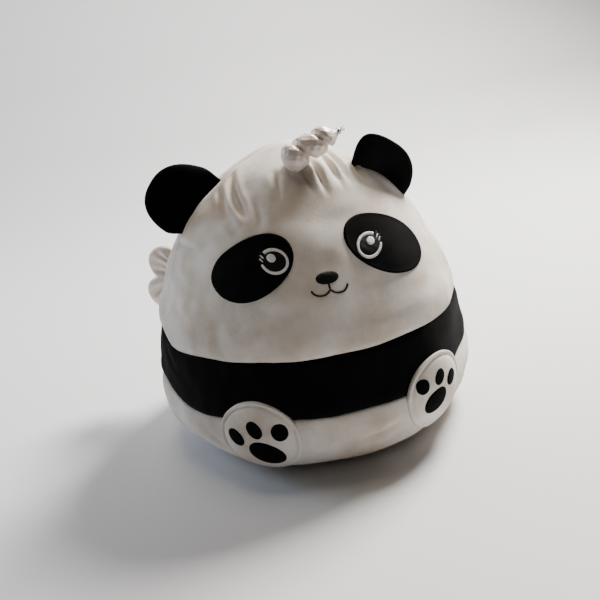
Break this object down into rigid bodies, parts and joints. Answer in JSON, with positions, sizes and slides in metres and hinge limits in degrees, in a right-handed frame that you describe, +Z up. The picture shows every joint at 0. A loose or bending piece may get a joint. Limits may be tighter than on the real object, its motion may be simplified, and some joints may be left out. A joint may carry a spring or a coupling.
{
  "type": "plush panda",
  "caption": "Stuffed egg-shaped plush panda that sits on a flat base, with soft ears, a twisted horn and back wings that fold on their sewn roots.",
  "frame": {"origin": "middle of the flat base panel, on the surface that the toy sits on", "axes": "+Z up through the crown, -Y towards the face, +X towards the toy's own left ear"},
  "size_m": [0.401, 0.401, 0.3829],
  "materials": {
    "white_plush": "matte",
    "black_plush": "matte",
    "polyester_filling": "matte",
    "white_embroidery": "satin",
    "dark_embroidery": "satin",
    "iridescent_satin": "satin",
    "silver_thread": "satin"
  },
  "bodies": {
    "body": {"band_back_panel": "black_plush", "band_front_panel": "black_plush", "base_panel": "white_plush", "body_stuffing": "polyester_filling", "closing_stitches": "white_embroidery", "eye_highlight_left": "white_embroidery", "eye_highlight_right": "white_embroidery", "eye_patch_left": "black_plush", "eye_patch_right": "black_plush", "eye_ring_left": "white_embroidery", "eye_ring_right": "white_embroidery", "eyelashes_left": "dark_embroidery", "eyelashes_right": "dark_embroidery", "foot_cover_left": "white_plush", "foot_cover_right": "white_plush", "foot_padding_left": "polyester_filling", "foot_padding_right": "polyester_filling", "foot_topstitch_left": "white_embroidery", "foot_topstitch_right": "white_embroidery", "head_back_panel": "white_plush", "head_front_panel": "white_plush", "lower_back_panel": "white_plush", "lower_front_panel": "white_plush", "main_pad_left": "black_plush", "main_pad_right": "black_plush", "mouth": "dark_embroidery", "nose": "dark_embroidery", "pupil_left": "dark_embroidery", "pupil_right": "dark_embroidery", "toe_pads_left": "black_plush", "toe_pads_right": "black_plush"},
    "ear_right": {"ear_back_right": "black_plush", "ear_front_right": "black_plush", "ear_padding_right": "polyester_filling"},
    "ear_left": {"ear_back_left": "black_plush", "ear_front_left": "black_plush", "ear_padding_left": "polyester_filling"},
    "horn": {"horn_cover": "iridescent_satin", "horn_stuffing": "polyester_filling", "horn_thread": "silver_thread", "horn_tip_thread": "silver_thread"},
    "wing_right": {"wing_back_right": "iridescent_satin", "wing_front_right": "iridescent_satin", "wing_padding_right": "polyester_filling"},
    "wing_left": {"wing_back_left": "iridescent_satin", "wing_front_left": "iridescent_satin", "wing_padding_left": "polyester_filling"}
  },
  "joints": [
    {"name": "ear_right_fold", "type": "hinge", "parent": "body", "child": "ear_right", "pos_m": [-0.11772, 0.00215, 0.30615], "axis": [0.6456, 0.2079, 0.7348], "range_deg": [-45, 65], "stiffness_Nm_per_rad": 0.12},
    {"name": "ear_left_fold", "type": "hinge", "parent": "body", "child": "ear_left", "pos_m": [0.11509, -0.02112, 0.30616], "axis": [0.6622, -0.0941, -0.7434], "range_deg": [-70, 20], "stiffness_Nm_per_rad": 0.12},
    {"name": "horn_tilt", "type": "hinge", "parent": "body", "child": "horn", "pos_m": [-0.00255, -0.07299, 0.3555], "axis": [0.1045, -0.9945, 0], "range_deg": [-8, 125], "stiffness_Nm_per_rad": 0.08},
    {"name": "wing_right_flap", "type": "hinge", "parent": "body", "child": "wing_right", "pos_m": [-0.13726, 0.128, 0.18106], "axis": [0.2152, -0.2007, 0.9557], "range_deg": [-40, 50], "stiffness_Nm_per_rad": 0.12},
    {"name": "wing_left_flap", "type": "hinge", "parent": "body", "child": "wing_left", "pos_m": [0.13726, 0.128, 0.18106], "axis": [0.2152, 0.2007, -0.9557], "range_deg": [-40, 50], "stiffness_Nm_per_rad": 0.12}
  ]
}
